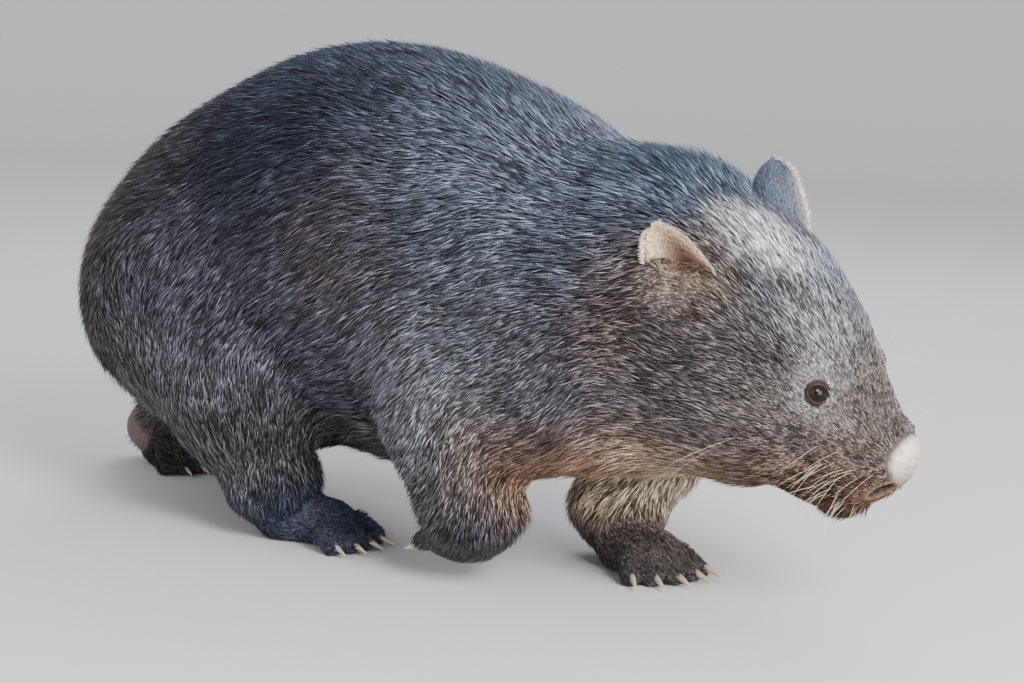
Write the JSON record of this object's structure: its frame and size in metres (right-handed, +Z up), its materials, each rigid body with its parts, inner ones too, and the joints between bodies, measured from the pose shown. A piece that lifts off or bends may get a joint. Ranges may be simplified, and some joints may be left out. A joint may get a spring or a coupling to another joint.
{
  "type": "wombat",
  "caption": "Life-size common wombat walking on level ground with one forepaw lifted, as a still museum-type model.",
  "frame": {"origin": "on the floor under the soles, at the centre of the bounding box in plan", "axes": "+X the way the animal faces and walks, +Y its left side, +Z up"},
  "size_m": [0.8804, 0.3624, 0.4316],
  "materials": {
    "coat_back": "coarse grey-brown fur",
    "coat_face": "short ticked fur",
    "coat_limb": "dark brown fur",
    "ear": "thin skin with short buff fur",
    "nose": "bare pebbled skin",
    "eye": "wet",
    "claw": "worn horn"
  },
  "bodies": {
    "root": {"torso": "coat_back", "tail": "coat_back", "neck": "coat_back", "head": "coat_face", "nose_pad": "nose", "eye_left": "eye", "eye_right": "eye", "ear_left": "ear", "ear_right": "ear", "foreleg_left": "coat_limb", "foreleg_right": "coat_limb", "hindleg_left": "coat_limb", "hindleg_right": "coat_limb", "forepaw_left": "coat_limb", "forepaw_left_claw_1": "claw", "forepaw_left_claw_2": "claw", "forepaw_left_claw_3": "claw", "forepaw_left_claw_4": "claw", "forepaw_left_claw_5": "claw", "forepaw_right": "coat_limb", "forepaw_right_claw_1": "claw", "forepaw_right_claw_2": "claw", "forepaw_right_claw_3": "claw", "forepaw_right_claw_4": "claw", "forepaw_right_claw_5": "claw", "hindfoot_left": "coat_limb", "hindfoot_left_claw_1": "claw", "hindfoot_left_claw_2": "claw", "hindfoot_left_claw_3": "claw", "hindfoot_left_claw_4": "claw", "hindfoot_right": "coat_limb", "hindfoot_right_claw_1": "claw", "hindfoot_right_claw_2": "claw", "hindfoot_right_claw_3": "claw", "hindfoot_right_claw_4": "claw"}
  },
  "joints": []
}
